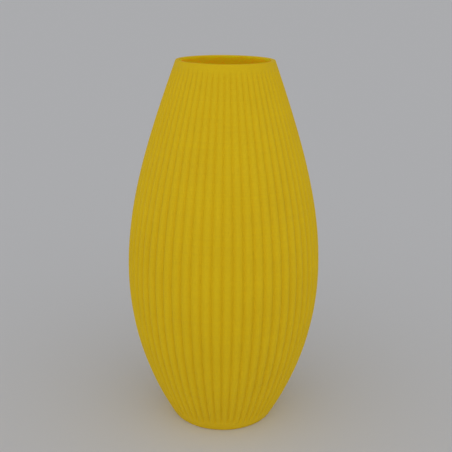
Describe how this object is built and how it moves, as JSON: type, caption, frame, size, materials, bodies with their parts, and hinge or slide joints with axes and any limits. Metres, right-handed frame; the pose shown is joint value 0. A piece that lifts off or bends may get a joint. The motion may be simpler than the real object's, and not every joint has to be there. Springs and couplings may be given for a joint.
{
  "type": "vase",
  "caption": "Tall barrel-shaped vase with straight ribs along its outline, a round open mouth and a small round foot.",
  "frame": {"origin": "middle of the underside, on the vase's axis", "axes": "+Z along the vase's axis, from the foot to the mouth"},
  "size_m": [0.1314, 0.1314, 0.25],
  "materials": {
    "shell": "satin yellow print filament with fine horizontal layer lines"
  },
  "bodies": {
    "root": {"vase": "shell"}
  },
  "joints": []
}
